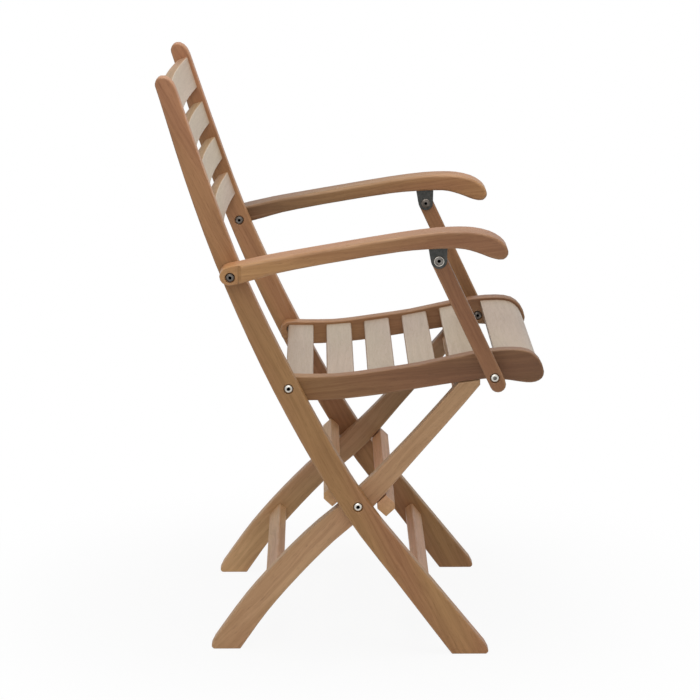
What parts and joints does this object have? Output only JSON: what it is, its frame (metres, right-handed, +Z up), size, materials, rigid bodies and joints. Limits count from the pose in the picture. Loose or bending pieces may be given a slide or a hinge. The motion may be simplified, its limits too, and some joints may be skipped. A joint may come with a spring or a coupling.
{
  "type": "folding armchair",
  "caption": "Folding slatted wooden armchair: bowed posts cross the rear legs like scissors, and the seat, struts and arms fold up against the back as a parallelogram.",
  "frame": {"origin": "on the floor, below the centre of the opened chair's bounding box", "axes": "+Z up, the chair's front faces -Y, +X towards the sitter's left"},
  "size_m": [0.5794, 0.5808, 0.8894],
  "materials": {
    "frame_teak": "oiled satin",
    "slat_teak": "dry satin",
    "steel": "bright",
    "dark_steel": "satin"
  },
  "bodies": {
    "back_frame": {"post_left": "frame_teak", "post_right": "frame_teak", "back_slat_1": "slat_teak", "back_slat_2": "slat_teak", "back_slat_3": "slat_teak", "back_slat_4": "slat_teak", "front_stretcher": "frame_teak", "stop_bar_front": "frame_teak", "stop_bar_rear": "frame_teak", "scissor_bolt_left": "steel", "scissor_bolt_right": "steel", "scissor_nut_left": "steel", "scissor_nut_right": "steel", "scissor_washer_left": "steel", "scissor_washer_right": "steel", "seat_pivot_bolt_left": "steel", "seat_pivot_bolt_right": "steel", "seat_pivot_nut_left": "steel", "seat_pivot_nut_right": "steel", "seat_pivot_washer_left": "steel", "seat_pivot_washer_right": "steel", "arm_pivot_bolt_left": "steel", "arm_pivot_bolt_right": "steel", "arm_pivot_nut_left": "steel", "arm_pivot_nut_right": "steel", "arm_pivot_washer_left": "steel", "arm_pivot_washer_right": "steel"},
    "rear_legs": {"rear_leg_left": "frame_teak", "rear_leg_right": "frame_teak", "rear_stretcher": "frame_teak", "tie_bar": "frame_teak"},
    "seat": {"seat_rail_left": "frame_teak", "seat_rail_right": "frame_teak", "seat_slat_1": "slat_teak", "seat_slat_2": "slat_teak", "seat_slat_3": "slat_teak", "seat_slat_4": "slat_teak", "seat_slat_5": "slat_teak", "seat_slat_6": "slat_teak", "strut_bolt_left": "steel", "strut_bolt_right": "steel", "strut_nut_left": "steel", "strut_nut_right": "steel", "strut_spacer_left": "steel", "strut_spacer_right": "steel"},
    "arm_left": {"arm_left": "frame_teak", "arm_bracket_left": "dark_steel", "bracket_bolt_left": "steel", "bracket_nut_left": "steel", "bracket_screw_front_left": "steel", "bracket_screw_rear_left": "steel"},
    "strut_left": {"strut_left": "frame_teak"},
    "arm_right": {"arm_right": "frame_teak", "arm_bracket_right": "dark_steel", "bracket_bolt_right": "steel", "bracket_nut_right": "steel", "bracket_screw_front_right": "steel", "bracket_screw_rear_right": "steel"},
    "strut_right": {"strut_right": "frame_teak"}
  },
  "joints": [
    {"name": "seat_fold", "type": "hinge", "parent": "back_frame", "child": "seat", "pos_m": [0, 0.09634, 0.419], "axis": [-1, 0, 0], "range_deg": [0, 100]},
    {"name": "rear_legs_fold", "type": "hinge", "parent": "back_frame", "child": "rear_legs", "pos_m": [0, -0.00836, 0.2344], "axis": [-1, 0, 0], "range_deg": [0, 59.1]},
    {"name": "arm_left_fold", "type": "hinge", "parent": "back_frame", "child": "arm_left", "pos_m": [0.2657, 0.18134, 0.598], "axis": [-1, 0, 0], "range_deg": [0, 100]},
    {"name": "arm_right_fold", "type": "hinge", "parent": "back_frame", "child": "arm_right", "pos_m": [-0.2657, 0.18134, 0.598], "axis": [-1, 0, 0], "range_deg": [0, 100]},
    {"name": "strut_left_swing", "type": "hinge", "parent": "seat", "child": "strut_left", "pos_m": [0.2581, -0.21236, 0.4415], "axis": [1, 0, 0], "range_deg": [0, 100]},
    {"name": "strut_right_swing", "type": "hinge", "parent": "seat", "child": "strut_right", "pos_m": [-0.2581, -0.21236, 0.4415], "axis": [1, 0, 0], "range_deg": [0, 100]}
  ],
  "couplings": [
    {"joint": "rear_legs_fold", "follows": "seat_fold", "ratio": 0.59},
    {"joint": "arm_left_fold", "follows": "seat_fold", "ratio": 1},
    {"joint": "arm_right_fold", "follows": "seat_fold", "ratio": 1},
    {"joint": "strut_left_swing", "follows": "seat_fold", "ratio": 1},
    {"joint": "strut_right_swing", "follows": "seat_fold", "ratio": 1}
  ]
}
